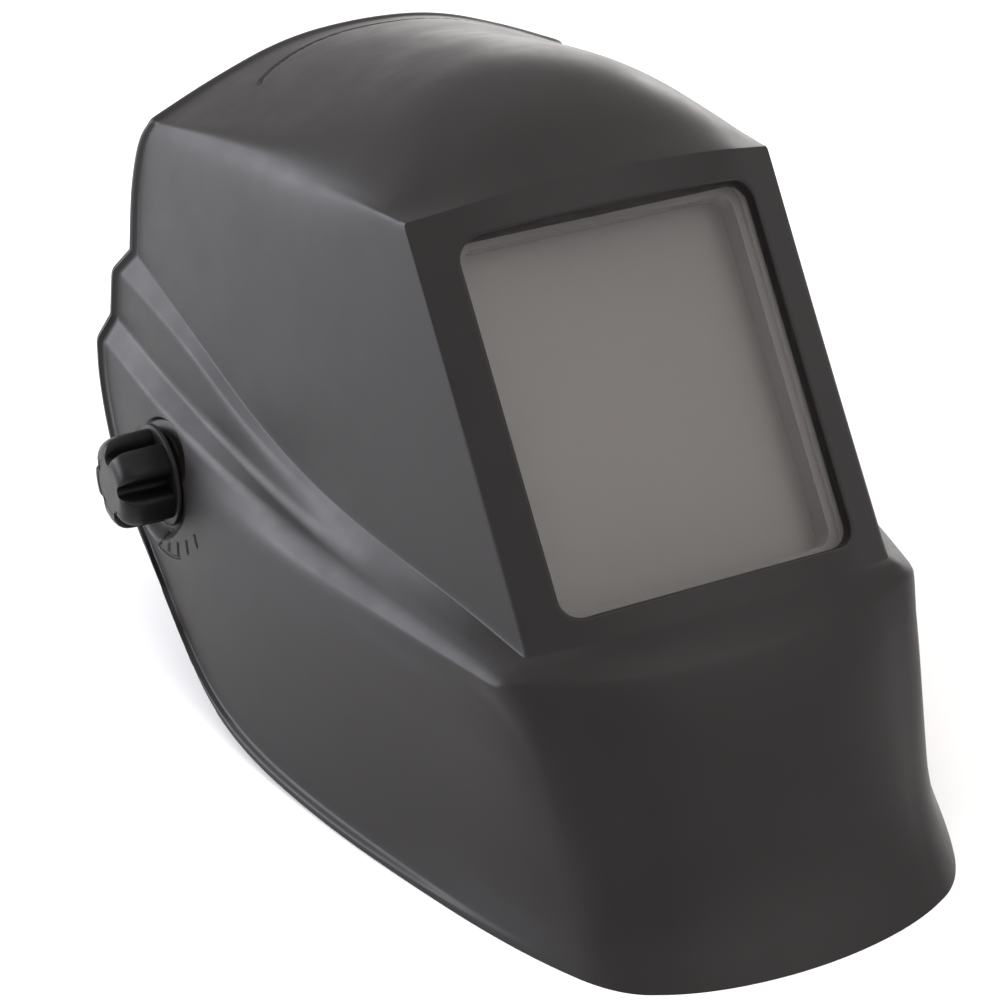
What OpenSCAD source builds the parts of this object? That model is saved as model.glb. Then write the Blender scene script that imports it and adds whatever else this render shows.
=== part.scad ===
// Passive welding helmet: moulded shell, lens stack and pivoting headgear.
// Units are millimetres. +X is the wearer's left, -Y the way the helmet faces, +Z up.
// The helmet is drawn as it stands on a table, tilted back on its lower rim.

/* [Shell] */
// wall thickness of the moulded shell
shell_t = 3; // [2.5:0.1:4]
// how far the whole helmet is moved along Y, to centre its footprint
y_shift = -81.2; // [-90:0.1:-40]

/* [Window] */
// tilt of the window plane from vertical as the helmet stands
window_tilt = 36.7; // [30:0.1:45]
// height of the window centre above the table
window_z = 150; // [130:1:170]
// clear width of the window opening
window_w = 105.6; // [90:0.1:110]
// clear height of the window opening
window_h = 122; // [100:0.5:130]
// corner radius of the window opening
window_r = 7; // [3:0.5:12]
// width of the lens plates
plate_w = 114.3; // [110:0.1:116]
// height of the lens plates
plate_h = 133.4; // [130:0.1:135]
// depth of the lens seat behind the window plane
seat_depth = 5; // [3:0.5:8]
// side clearance of the lens pocket
pocket_gap = 0.5; // [0.2:0.1:1]
// wall thickness of the lens pocket
pocket_wall = 2.4; // [2:0.1:4]
// thickness of the outer cover plate
outer_plate_t = 1.6; // [1:0.1:2.5]
// thickness of the gasket
gasket_t = 1.5; // [1:0.1:3]
// depth of the spacer frame
spacer_t = 9; // [6:0.5:12]
// thickness of the shaded filter plate
filter_t = 3; // [2.5:0.1:3.5]
// thickness of the inner cover plate
inner_plate_t = 1.2; // [1:0.1:2]
// gap between neighbouring lens parts
stack_gap = 0.05; // [0.03:0.01:0.2]

/* [Pivot] */
// distance of the pivot axis behind the window centre
pivot_y = 165.5; // [140:1:180]
// height of the pivot axis above the table
pivot_z = 67; // [50:1:90]
// distance of the outer boss face from the middle plane
boss_x = 104.2; // [100:0.1:110]
// distance of the inner boss face from the middle plane
boss_in_x = 98.5; // [95:0.1:105]
// radius of the pivot boss
boss_r = 19; // [12:0.5:24]
// radius of the pivot bolt
bolt_r = 4; // [3:0.1:5]
// running clearance round the bolt
bolt_gap = 0.08; // [0.03:0.01:0.1]
// radius of the knob flange
knob_flange_r = 18.5; // [15:0.5:20]
// radius of the knob lobes
knob_r = 16.8; // [14:0.5:19]
// radius of the bottom of the grooves between the lobes
knob_groove_r = 10.7; // [8:0.1:14]
// length of the knob from flange to face
knob_len = 20.6; // [12:0.1:24]
// number of knob lobes
knob_lobes = 5; // [5:1:8]

/* [Headgear] */
// how far the headgear leans back inside the standing helmet
gear_tilt = 26; // [15:1:45]
// radius of the headband's front and rear arcs
band_r = 79; // [72:0.5:86]
// headband thickness
band_t = 2.2; // [1.5:0.1:3]
// headband height
band_h = 24; // [18:1:34]
// centre of the front arc, from the pivot axis
front_c = -26; // [-40:1:-10]
// centre of the rear arc, from the pivot axis
rear_c = 10; // [0:1:25]
// radius of the crown strap
crown_r = 77; // [72:0.5:82]
// height of the crown strap's centre above the band plane
crown_z = 30; // [15:1:45]
// crown strap width
crown_w = 17; // [12:1:24]
// strap thickness
strap_t = 1.8; // [1.2:0.1:2.5]

/* [Ratchet] */
// gear module of the ratchet pinion
gear_m = 1.5; // [1:0.1:2]
// teeth on the ratchet pinion
gear_z = 10; // [8:1:14]
// half width of the ratchet housing
box_w = 36; // [30:1:42]
// half height of the ratchet housing
box_h = 18; // [15:1:22]
// radius of the ratchet knob
ratchet_r = 17; // [13:0.5:20]

/* [Hidden] */
$fn = 96;
lap = 0.5;
tilt_rot = 90 - window_tilt;
pocket_w = plate_w + 2 * pocket_gap;
pocket_h = plate_h + 2 * pocket_gap;
plate_z = -seat_depth - stack_gap;
gasket_z = plate_z - outer_plate_t - stack_gap;
spacer_z = gasket_z - gasket_t - stack_gap;
filter_z = spacer_z - spacer_t - stack_gap;
inner_z = filter_z - filter_t - stack_gap;
retainer_z = inner_z - inner_plate_t - 1.1;
hinge_y = 64;
hinge_z = retainer_z - 1.8;
hinge_r = 2.4;
pin_r = 1.5;
pocket_depth = -hinge_z + 3.6;
knob_turn = 21;
washer_x = boss_in_x - 2.2;
stop_x = washer_x - 2.3;
arm_x = stop_x - 2.8;
head_x = arm_x - 3;
knob_x = boss_x + 0.3;
gear_r = gear_m * gear_z / 2;
pitch = PI * gear_m;
rear_y = rear_c + band_r;
cover_y = rear_y - 7;
box_y = cover_y + 2.1;
rack_y = box_y + 1;

// ---------------------------------------------------------------- shell form
// Design stations of the shell's left half. Each row runs from the middle
// plane, past the front corner, along the side to the rear rim.
rows = [
  // lower rim
  [[0, -109, 0], [38, -104, 0], [64, -91, 0], [82, -54, 0], [97, 2, 0],
   [106.5, 46, 0.5], [112, 80, 3], [113.5, 108, 9], [113, 133, 24]],
  // top of the flare
  [[0, -92, 19], [38, -88, 19], [63, -74, 19], [77, -46, 20], [92.5, 5, 22],
   [102.5, 48, 23], [108.5, 86, 25], [111.5, 120, 29], [111.8, 155, 34]],
  // middle of the chin
  [[0, -80, 45], [38, -76, 45], [67, -61, 45], [76, -42, 46], [89.5, 4, 46],
   [99.3, 46, 46], [106, 88, 46], [109, 133, 46], [109.7, 181, 44]],
  // top of the chin
  [[0, -68, 71], [38, -65, 71], [69.5, -50, 70], [78, -38, 71], [88, 2, 70],
   [95.8, 44, 66], [102, 86, 64], [106, 140, 62], [107.5, 205, 60]],
  // lower edge of the side wedge
  [[0, -60, 86], [38, -56, 86], [76.5, -40, 83.5], [85, 1, 82.5], [92, 42, 80],
   [98, 80, 77.5], [102.8, 122, 73], [105, 168, 73], [104.7, 221, 80]],
  // lower ledge, outer edge
  [[0, -57, 89], [38, -53, 88.5], [75, -40, 86], [82, 0, 86.5], [88.7, 44, 84.5],
   [92.5, 84, 84], [97.6, 125, 85.5], [102, 172, 88.5], [102.8, 226, 94]],
  // lower ledge, inner edge
  [[0, -54, 93], [38, -50, 92], [72, -39, 88.5], [78.5, -1, 89.5], [84.8, 45, 88],
   [88, 88, 87], [91.6, 125, 91], [94.8, 172, 95.5], [97, 226, 102.5]],
  // upper ledge, outer edge
  [[0, -51.5, 97], [38, -48, 95], [69, -38, 90.5], [75, -1, 92.3], [81, 45, 91.7],
   [85.3, 86, 93.7], [89.6, 126, 101], [93.4, 172, 114], [95.4, 226, 119.5]],
  // upper ledge, inner edge, and the foot of the window frame
  [[0, -49.4, 100.5], [38, -46.2, 98.2], [66, -36, 92.2], [71.3, -2, 95.3],
   [77.5, 43, 95.5], [82.3, 85, 97.5], [86, 125, 104.5], [89.2, 171, 118.5],
   [89.5, 222, 128]],
  // middle of the window
  [[0, -8.1, 156], [38, -4.9, 153.6], [65.7, 4.3, 146.8], [70.5, 38, 149],
   [75.2, 76, 149], [79.2, 113, 149], [82.5, 150, 149], [84.8, 188, 149],
   [86, 226, 150]],
  // top of the window frame and the shoulder behind it
  [[0, 35, 214], [38, 37.8, 211], [65.7, 46.7, 203.8], [67.7, 63, 201.5],
   [70.5, 85, 196.5], [74, 112, 189.5], [77.5, 145, 183.5], [80.7, 184, 177],
   [83.8, 223, 169]]
];
// Crown stations, from the frame's top edge back to the rear rim.
crown = [
  [[58, 44.5, 205.5], [61, 60, 207], [62.5, 84, 205.5], [65, 114, 202],
   [70.7, 143, 195.5], [76.7, 183, 186], [81, 218, 177.5]],
  [[40, 39, 210], [43, 61, 219], [43, 87, 220], [45, 116, 214],
   [48, 149, 206], [52, 184, 197.5], [56.5, 218, 189.5]],
  [[20, 36.4, 213], [22, 62, 227], [22, 88, 230.5], [23, 117, 224],
   [24, 150, 215.5], [26, 184, 207.5], [29, 218, 200]],
  [[0, 35.5, 214], [0, 63, 230], [0, 90, 233.5], [0, 118, 227.5],
   [0, 150, 218.5], [0, 184, 210], [0, 218, 202.5]]
];
// rounding of the front corner in each row
corner_round = [.26, .26, .24, .22, .22, .2, .2, .1, .06, .06, 0];
// rounding across each row, at each station
row_round = [
  [0, 0, 0, 0, 0, 0, 0, 0, 0],
  [.5, .5, .5, .5, .5, .5, .5, .5, .5],
  [.5, .5, .5, .5, .5, .5, .5, .5, .5],
  [.5, .5, .5, .5, .5, .5, .5, .5, .5],
  [.5, .5, .45, .3, .3, .35, .5, .5, .5],
  [.5, .5, .5, .5, .5, .4, .2, .15, .1],
  [.5, .5, .5, .5, .5, .4, .25, .15, .1],
  [.5, .5, .5, .5, .5, .5, .3, .25, .1],
  [.3, .3, .2, .15, .12, .1, .08, .06, .05],
  [.5, .5, .5, .5, .5, .5, .5, .5, .5],
  [0, 0, .05, .12, .3, .5, .5, .5, .5],
  [.5, .5, .5, .5, .5, .5, .35, .15, .08],
  [.5, .5, .5, .5, .5, .5, .5, .5, .5],
  [.5, .5, .5, .5, .5, .5, .5, .5, .5],
  [.5, .5, .5, .5, .5, .5, .5, .5, .5],
  [0, 0, 0, 0, 0, 0, 0, 0, 0]
];
smooth = [.5, .5, .5, .5, .5, .5, .5, .5, .5, .5];

// point of the left half's net, with its mirror image across the middle plane
function across(p) = [-p[0], p[1], p[2]];
function net(i, j) =
  i < 0 ? across(net(-i, j)) :
  j > 14 ? across(net(i, 28 - j)) :
  j <= 10 ? rows[j][i] :
  i >= 2 ? crown[j - 11][i - 2] : crown[3 - 2 * i][1];
function unit(v) = v / norm(v);
function across_row(i, j) = net(min(i + 1, 8), j) - net(j > 10 ? max(i - 1, 2) : i - 1, j);
function up_row(i, j) =
  let (k = j == 0 ? min(i, 7) : i) net(k, j + 1) - net(k, max(j - 1, 0));
function outward(i, j) =
  let (n = cross(across_row(i, j), up_row(i, j)))
  unit([n[0], n[1], j == 0 ? 0 : n[2]]);
// net moved inwards by t
function net_in(i, j, t) = net(i, j) - t * outward(i, j);
function shell_row(j, t) = [for (i = [-1:8]) i < 0 ? across(net_in(1, j, t)) : net_in(i, j, t)];
function crown_row(j, t) =
  j > 14 ? [for (p = crown_row(28 - j, t)) across(p)] :
  [for (i = [2:8]) j == 14 ? [0, net_in(i, j, t)[1], net_in(i, j, t)[2]] : net_in(i, j, t)];

// rounded line through the stations p, with corner rounding w, at position s
function blend(p, w, s) =
  let (n = len(p), i = min(max(round(s), 0), n - 1), d = s - i, k = min(floor(s), n - 2))
  (i > 0 && i < n - 1 && abs(d) < w[i]) ?
    let (a = p[i] + w[i] * (p[i - 1] - p[i]),
         b = p[i] + w[i] * (p[i + 1] - p[i]),
         f = (d + w[i]) / (2 * w[i]))
    (1 - f) * (1 - f) * a + 2 * f * (1 - f) * p[i] + f * f * b :
  (1 - (s - k)) * p[k] + (s - k) * p[k + 1];
function corner_w(j) = [0, .5, .5, corner_round[j], .5, .5, .5, .5, .5, 0];
function along(net_rows, u) = [for (j = [0:10]) blend(net_rows[0][j], corner_w(j), u + 1)];
function crown_along(net_rows, u) =
  [for (r = net_rows[1]) blend(r, [0, .5, .5, .5, .5, .5, 0], u - 2)];
function round_at(u, n) =
  let (k = min(floor(u), 7), f = u - k)
  [for (j = [0:n]) (1 - f) * row_round[j][k] + f * row_round[j][k + 1]];
function top_edge(net_rows, v) = along(net_rows, (14 - v) / 2)[10];
function side_raw(net_rows, u, v) =
  blend(concat(along(net_rows, u), crown_along(net_rows, u)), round_at(u, 15), v);
function side_pt(net_rows, u, v) =
  v <= 10 || u >= 3 ? side_raw(net_rows, u, v) :
  u == 2 ? top_edge(net_rows, v) :
  let (f = u - 2, k = 1 - f * f * (3 - 2 * f))
  side_raw(net_rows, u, v) + k * (top_edge(net_rows, v) - side_raw(net_rows, 2, v));
function front_pt(net_rows, u, v) = blend(along(net_rows, u), round_at(u, 10), v);

u_side = [2, 2.25, 2.6, 3, 3.5, 4, 4.5, 5, 5.5, 6, 6.5, 7, 7.5, 8];
v_side = [0, .5, 1, 1.5, 2, 2.5, 3, 3.5, 4, 5, 6, 7, 8, 8.5, 9, 9.5, 10,
          10.5, 11, 11.5, 12, 12.5, 13, 13.5, 14];
nl = len(u_side) - 1;
nv = 16;
nm = len(v_side) - 1;
nf = nm - nv;
ng = (2 * nm + 1) * (nl + 1);

function pick(p, mirrored) = mirrored ? across(p) : p;
function skin(t) =
  let (net_rows = [[for (j = [0:10]) shell_row(j, t)], [for (j = [11:15]) crown_row(j, t)]])
  concat(
    [for (m = [0:2 * nm]) for (l = [0:nl])
      pick(side_pt(net_rows, u_side[l], v_side[min(m, 2 * nm - m)]), m < nm)],
    [for (i = [1 - nf:nf - 1]) for (j = [0:nv - 1])
      pick(front_pt(net_rows, 2 * abs(i) / nf, v_side[j]), i < 0)]);
function g(m, l) = m * (nl + 1) + l;
function h(i, j) =
  j == nv ? g(nm + i, 0) :
  i == -nf ? g(j, 0) :
  i == nf ? g(2 * nm - j, 0) :
  ng + (i + nf - 1) * nv + j;
// outer quads, anticlockwise seen from outside
quads = concat(
  [for (m = [0:2 * nm - 1]) for (l = [0:nl - 1])
    [g(m, l), g(m + 1, l), g(m + 1, l + 1), g(m, l + 1)]],
  [for (i = [-nf:nf - 1]) for (j = [0:nv - 1])
    [h(i, j), h(i + 1, j), h(i + 1, j + 1), h(i, j + 1)]]);
// edges of the open rim, in the same sense as the outer quads
rim = concat(
  [for (l = [0:nl - 1]) [g(0, l + 1), g(0, l)]],
  [for (i = [-nf:nf - 1]) [h(i, 0), h(i + 1, 0)]],
  [for (l = [0:nl - 1]) [g(2 * nm, l), g(2 * nm, l + 1)]],
  [for (m = [0:2 * nm - 1]) [g(m + 1, nl), g(m, nl)]]);

module shell_skin() {
  outer = skin(0);
  inner = skin(shell_t);
  n = len(outer);
  polyhedron(
    points = concat(outer, inner),
    faces = concat(
      [for (q = quads) [q[2], q[1], q[0]]],
      [for (q = quads) [q[3], q[2], q[0]]],
      [for (q = quads) [n + q[0], n + q[1], n + q[2]]],
      [for (q = quads) [n + q[0], n + q[2], n + q[3]]],
      [for (e = rim) [e[0], e[1], n + e[0]]],
      [for (e = rim) [e[1], n + e[1], n + e[0]]]),
    convexity = 8);
}

// ---------------------------------------------------------------- placing
module at_window() {
  translate([0, y_shift, window_z]) rotate([tilt_rot, 0, 0]) children();
}
module at_pivot() {
  translate([0, pivot_y + y_shift, pivot_z]) children();
}
module at_gear() {
  at_pivot() rotate([-gear_tilt, 0, 0]) children();
}
// s = 1 is the wearer's left side, s = -1 the right
module on_side(s) {
  mirror([s < 0 ? 1 : 0, 0, 0]) children();
}
// round bar along +X from x0 to x1
module bar_x(x0, x1, r) {
  translate([x0, 0, 0]) rotate([0, 90, 0]) cylinder(r = r, h = x1 - x0);
}
// rounded plate in the window frame, from z0 back to z0 - t
module plate(w, d, r, z0, t) {
  translate([0, 0, z0 - t]) {
    translate([-w / 2 + r, -d / 2, 0]) cube([w - 2 * r, d, t]);
    translate([-w / 2, -d / 2 + r, 0]) cube([w, d - 2 * r, t]);
    for (x = [-1, 1]) {
      for (y = [-1, 1]) {
        translate([x * (w / 2 - r), y * (d / 2 - r), 0]) cylinder(r = r, h = t, $fn = 48);
      }
    }
  }
}
module ring_plate(w, d, r, w2, d2, r2, z0, t) {
  difference() {
    plate(w, d, r, z0, t);
    plate(w2, d2, r2, z0 + 1, t + 2);
  }
}

// ---------------------------------------------------------------- shell
module pocket_block() {
  intersection() {
    plate(pocket_w + 2 * pocket_wall, pocket_h + 2 * pocket_wall, 4, 9, 9 + pocket_depth);
    translate([0, 150, 7.6 - 150]) rotate([90, 0, 0]) cylinder(r = 150, h = 300, $fn = 180);
  }
}
module shell() {
  color([0.07, 0.07, 0.08])
  difference() {
    union() {
      translate([0, y_shift, 0]) shell_skin();
      at_window() pocket_block();
      at_pivot() for (s = [-1, 1]) {
        on_side(s) bar_x(boss_in_x, boss_x, boss_r);
        on_side(s) translate([0, 0, -4]) bar_x(boss_in_x, boss_x - 2.4, boss_r + 8);
      }
    }
    at_window() {
      plate(window_w, window_h, window_r, 30, 30 + seat_depth + 1);
      plate(pocket_w, pocket_h, 1.5, -seat_depth, pocket_depth);
      translate([0, hinge_y, hinge_z]) bar_x(-pocket_w / 2 - 2, pocket_w / 2 + 2, pin_r + 0.07);
    }
    at_pivot() for (s = [-1, 1]) {
      on_side(s) bar_x(boss_in_x - 5, boss_x + 5, bolt_r + bolt_gap);
      on_side(s) bar_x(boss_x, boss_x + 15, knob_flange_r + 0.9);
    }
  }
}

// ---------------------------------------------------------------- lens stack
module outer_cover_plate() {
  color([0.62, 0.6, 0.58, 0.6]) at_window() plate(plate_w, plate_h, 1, plate_z, outer_plate_t);
}
module lens_gasket() {
  color([0.12, 0.12, 0.12]) at_window()
    ring_plate(plate_w, plate_h, 1, plate_w - 11, plate_h - 11, 4, gasket_z, gasket_t);
}
module lens_spacer() {
  color([0.16, 0.15, 0.15]) at_window()
    ring_plate(plate_w, plate_h, 1, 98, 118, 5, spacer_z, spacer_t);
}
module filter_plate() {
  color([0.1, 0.14, 0.1, 0.9]) at_window() plate(plate_w, plate_h, 1, filter_z, filter_t);
}
module inner_cover_plate() {
  color([0.75, 0.78, 0.78, 0.5]) at_window() plate(plate_w, plate_h, 1, inner_z, inner_plate_t);
}
module lens_retainer() {
  color([0.09, 0.09, 0.1]) at_window()
  difference() {
    union() {
      translate([-56.5, -66, retainer_z - 3]) cube([113, 130, 3]);
      translate([0, hinge_y, hinge_z]) bar_x(-56.5, 56.5, hinge_r);
      translate([0, hinge_y, hinge_z])
        bar_x(-pocket_w / 2 - 1.6, pocket_w / 2 + 1.6, pin_r);
    }
    plate(96, 114, 5, retainer_z + 1, 8);
  }
}
module retainer_springs() {
  color([0.7, 0.7, 0.72]) at_window()
  for (s = [-1, 1]) {
    translate([s * 52 - 3, -42, retainer_z + 0.05]) cube([6, 84, 0.6]);
  }
}

// ---------------------------------------------------------------- headgear
// band section swept round the Z axis, from angle a0 through a
module band_arc(r, t, h, a0, a) {
  rotate([0, 0, a0]) rotate_extrude(angle = a) translate([r, -h / 2]) square([t, h]);
}
module headband_front() {
  color([0.08, 0.08, 0.09]) at_gear()
  difference() {
    union() {
      translate([0, front_c, 0]) band_arc(band_r, band_t, band_h, 180, 180);
      for (s = [-1, 1]) {
        on_side(s) translate([band_r, front_c - lap, -band_h / 2]) cube([band_t, 32 + lap, band_h]);
      }
    }
    for (z = [-7, 7]) translate([0, -20, z]) bar_x(-90, 90, 1.87);
    translate([0, 1, 0]) bar_x(-90, 90, 1.87);
  }
}
module rear_band(s) {
  half = acos(38 / (band_r + band_t / 2));
  color([0.08, 0.08, 0.09]) at_gear() on_side(s)
  difference() {
    union() {
      translate([0, rear_c, 0]) band_arc(band_r, band_t, band_h, 0, half);
      translate([band_r, 6.2, -band_h / 2]) cube([band_t, 4, band_h]);
      translate([band_r - band_t - 0.1, -4, -9]) cube([band_t, 15, 18]);
      translate([band_r - 1, 6.2, -9]) cube([1.5, 4, 18]);
      translate([25, cover_y - 2.3, -9]) cube([14.5, band_t, 18]);
    }
    translate([0, 1, 0]) bar_x(-90, 90, 1.87);
    translate([30, cover_y, 0]) rotate([90, 0, 0]) cylinder(r = 1.87, h = 8);
  }
}
module rear_band_left() {
  rear_band(1);
}
module rear_band_right() {
  rear_band(-1);
}
module crown_strap(s) {
  color([0.09, 0.09, 0.1]) at_gear() on_side(s)
  difference() {
    union() {
      translate([0, -14.5, crown_z]) rotate([90, 0, 0])
        band_arc(crown_r, strap_t, crown_w, 0, 86);
      translate([crown_r, -14.5 - crown_w / 2, -10]) cube([strap_t, crown_w, 10 + crown_z + lap]);
    }
    for (z = [-7, 7]) translate([0, -20, z]) bar_x(-90, 90, 1.87);
    for (a = [6, 14, 22, 30]) {
      translate([0, -14.5, crown_z]) rotate([0, a, 0]) cylinder(r = 2.1, h = 90, $fn = 32);
    }
  }
}
module crown_strap_left() {
  crown_strap(1);
}
module crown_strap_right() {
  crown_strap(-1);
}
module crown_bridge() {
  color([0.1, 0.1, 0.11]) at_gear() translate([0, -14.5, crown_z]) {
    rotate([90, 0, 0]) band_arc(crown_r + strap_t + 0.05, strap_t, crown_w, 66, 48);
    for (a = [-14, -6, 6, 14]) {
      rotate([0, a, 0]) translate([0, 0, crown_r - 1]) cylinder(r = 2, h = strap_t + 2, $fn = 32);
    }
  }
}
module sweatband() {
  color([0.2, 0.2, 0.22]) at_gear() translate([0, front_c, 0])
    band_arc(band_r - 5.2, 5, 34, 208, 124);
}
module nape_pad() {
  color([0.2, 0.2, 0.22]) at_gear()
  translate([-24, cover_y - 6.2, -17]) cube([48, 6, 34]);
}
module headgear_rivets() {
  color([0.6, 0.6, 0.62]) at_gear() {
    for (s = [-1, 1]) {
      on_side(s) {
        for (z = [-7, 7]) {
          translate([0, -20, z]) {
            bar_x(crown_r - 1, arm_x + 3.6, 1.8);
            bar_x(crown_r - 1.2, crown_r - 0.1, 3.6);
            bar_x(arm_x + 2.7, arm_x + 3.8, 3.6);
          }
        }
        translate([0, 1, 0]) {
          bar_x(band_r - 3.4, band_r + band_t + 1, 1.8);
          bar_x(band_r - 3.6, band_r - 2.4, 3.6);
          bar_x(band_r + band_t + 0.1, band_r + band_t + 1.2, 3.6);
        }
      }
    }
  }
}

// ---------------------------------------------------------------- pivots
module side_arm(s) {
  color([0.1, 0.1, 0.11]) at_gear() on_side(s)
  difference() {
    union() {
      bar_x(arm_x, arm_x + 2.6, 14);
      translate([arm_x, -25, -10]) cube([2.6, 22, 20]);
      for (z = [-7, 7]) {
        translate([0, -20, z]) bar_x(band_r + band_t + 0.1, arm_x + 1, 4.5);
      }
      // tab that meets the tilt stop's peg
      rotate([gear_tilt - 57.5, 0, 0]) translate([arm_x, 8, -3]) cube([2.6, 16, 5]);
    }
    translate([arm_x - 1, -4.05, -4.05]) cube([5, 8.1, 8.1]);
    for (z = [-7, 7]) translate([0, -20, z]) bar_x(70, 100, 1.87);
  }
}
module side_arm_left() {
  side_arm(1);
}
module side_arm_right() {
  side_arm(-1);
}
module pivot_bolt(s) {
  color([0.5, 0.5, 0.52]) at_gear() on_side(s) {
    bar_x(head_x, arm_x - 0.05, 8.5);
    translate([head_x + 1, -4, -4]) cube([4.5, 8, 8]);
    bar_x(head_x + 1, boss_x + 11, bolt_r);
  }
}
module pivot_bolt_left() {
  pivot_bolt(1);
}
module pivot_bolt_right() {
  pivot_bolt(-1);
}
module tilt_stop(s) {
  color([0.75, 0.55, 0.15]) at_pivot() on_side(s)
  difference() {
    union() {
      bar_x(stop_x, stop_x + 2, 13);
      rotate([-75, 0, 0]) translate([stop_x, 6, -3.5]) cube([2, 19, 7]);
      rotate([-75, 0, 0]) translate([0, 20, 0]) bar_x(arm_x + 0.3, stop_x + 1, 2.5);
    }
    bar_x(stop_x - 2, stop_x + 4, bolt_r + bolt_gap);
  }
}
module tilt_stop_left() {
  tilt_stop(1);
}
module tilt_stop_right() {
  tilt_stop(-1);
}
module friction_washer(s) {
  color([0.35, 0.2, 0.12]) at_pivot() on_side(s)
  difference() {
    bar_x(washer_x, washer_x + 2, 13);
    bar_x(washer_x - 2, washer_x + 4, bolt_r + 0.4);
  }
}
module friction_washer_left() {
  friction_washer(1);
}
module friction_washer_right() {
  friction_washer(-1);
}
module tension_washer(s) {
  color([0.6, 0.6, 0.62]) at_pivot() on_side(s)
  difference() {
    bar_x(boss_x + 0.1, boss_x + 1.3, 9);
    bar_x(boss_x - 2, boss_x + 4, bolt_r + 0.4);
  }
}
module tension_washer_left() {
  tension_washer(1);
}
module tension_washer_right() {
  tension_washer(-1);
}
module pivot_knob(s) {
  color([0.05, 0.05, 0.055]) at_pivot() on_side(s)
  difference() {
    union() {
      bar_x(knob_x, knob_x + 1.8, knob_flange_r);
      difference() {
        bar_x(knob_x + 1, knob_x + knob_len, knob_r);
        for (k = [0:knob_lobes - 1]) {
          rotate([knob_turn + k * 360 / knob_lobes, 0, 0]) {
            translate([0, knob_groove_r + 2.9, 0]) bar_x(knob_x + 1.8, knob_x + knob_len + 1, 2.9);
            translate([knob_x + 1.8, knob_groove_r + 2.9, -2.9]) cube([knob_len, 8, 5.8]);
          }
        }
      }
    }
    bar_x(knob_x - 1, knob_x + 1.4, 9.4);
    translate([knob_x + 1, 0, 0]) rotate([0, 90, 0]) cylinder(r = 6.6, h = 9, $fn = 6);
    bar_x(knob_x + 5, knob_x + 12, bolt_r + 0.3);
  }
}
module pivot_knob_left() {
  pivot_knob(1);
}
module pivot_knob_right() {
  pivot_knob(-1);
}
module knob_insert(s) {
  color([0.75, 0.6, 0.3]) at_pivot() on_side(s)
  difference() {
    translate([knob_x + 1.6, 0, 0]) rotate([0, 90, 0]) cylinder(r = 6.5, h = 8.2, $fn = 6);
    bar_x(knob_x, knob_x + 12, bolt_r + 0.06);
  }
}
module knob_insert_left() {
  knob_insert(1);
}
module knob_insert_right() {
  knob_insert(-1);
}

// ---------------------------------------------------------------- ratchet
// bar along the headgear's rearward axis, from y0 to y1
module bar_y(y0, y1, r) {
  translate([0, y1, 0]) rotate([90, 0, 0]) cylinder(r = r, h = y1 - y0);
}
module ratchet_housing() {
  color([0.07, 0.07, 0.08]) at_gear()
  difference() {
    translate([-box_w, box_y, -box_h]) cube([2 * box_w, 11, 2 * box_h]);
    translate([-box_w + 2.5, box_y - 1, -box_h + 2.5]) cube([2 * box_w - 5, 9, 2 * box_h - 5]);
    bar_y(box_y + 5, box_y + 15, 3.06);
    for (x = [-30, 30]) translate([x, 0, 0]) bar_y(box_y + 6, box_y + 15, 1.87);
  }
}
module ratchet_cover() {
  color([0.08, 0.08, 0.09]) at_gear()
  difference() {
    translate([-box_w, cover_y, -box_h]) cube([2 * box_w, 2, 2 * box_h]);
    for (x = [-30, 30]) translate([x, 0, 0]) bar_y(cover_y - 5, cover_y + 5, 1.87);
    bar_y(cover_y - 1, cover_y + 5, 2.06);
  }
}
module ratchet_knob() {
  color([0.06, 0.06, 0.065]) at_gear()
  difference() {
    bar_y(box_y + 11.3, box_y + 24, ratchet_r);
    for (k = [0:11]) {
      rotate([0, k * 30, 0]) translate([ratchet_r + 1.6, 0, 0])
        bar_y(box_y + 14, box_y + 25, 3);
    }
    bar_y(box_y + 10, box_y + 20, 3.03);
  }
}
module tooth(w0, w1, h0, h1) {
  polygon([[-w0, h0], [w0, h0], [w1, h1], [-w1, h1]]);
}
module ratchet_pinion() {
  color([0.55, 0.55, 0.57]) at_gear() {
    translate([0, rack_y + 3.5, 0]) rotate([90, 0, 0])
      linear_extrude(height = 3.5)
      for (k = [0:gear_z - 1]) {
        rotate(k * 360 / gear_z) tooth(1.5, 0.45, gear_r - 2.4, gear_r + 1.1);
      }
    bar_y(rack_y, rack_y + 3.5, gear_r - 1.9);
    bar_y(cover_y + 0.2, rack_y + 1, 2);
    bar_y(rack_y + 3, box_y + 19.5, 3);
  }
}
module rack_tail(s) {
  color([0.1, 0.1, 0.11]) at_gear() rotate([0, s > 0 ? 0 : 180, 0])
  translate([0, rack_y + 3, 0]) rotate([90, 0, 0]) linear_extrude(height = 3) {
    translate([-19, gear_r + 1.5]) square([44, 5]);
    for (k = [-4:4]) {
      translate([(k + 0.5) * pitch, 0]) tooth(0.42, 1.35, gear_r - 1, gear_r + 1.6);
    }
  }
}
module rack_tail_left() {
  rack_tail(1);
}
module rack_tail_right() {
  rack_tail(-1);
}
module housing_screws() {
  color([0.5, 0.5, 0.52]) at_gear()
  for (x = [-30, 30]) {
    translate([x, 0, 0]) {
      bar_y(cover_y - 3.2, box_y + 11.6, 1.8);
      bar_y(cover_y - 3.6, cover_y - 2.4, 3.4);
      bar_y(box_y + 11.1, box_y + 12.2, 3.4);
    }
  }
}

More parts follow.
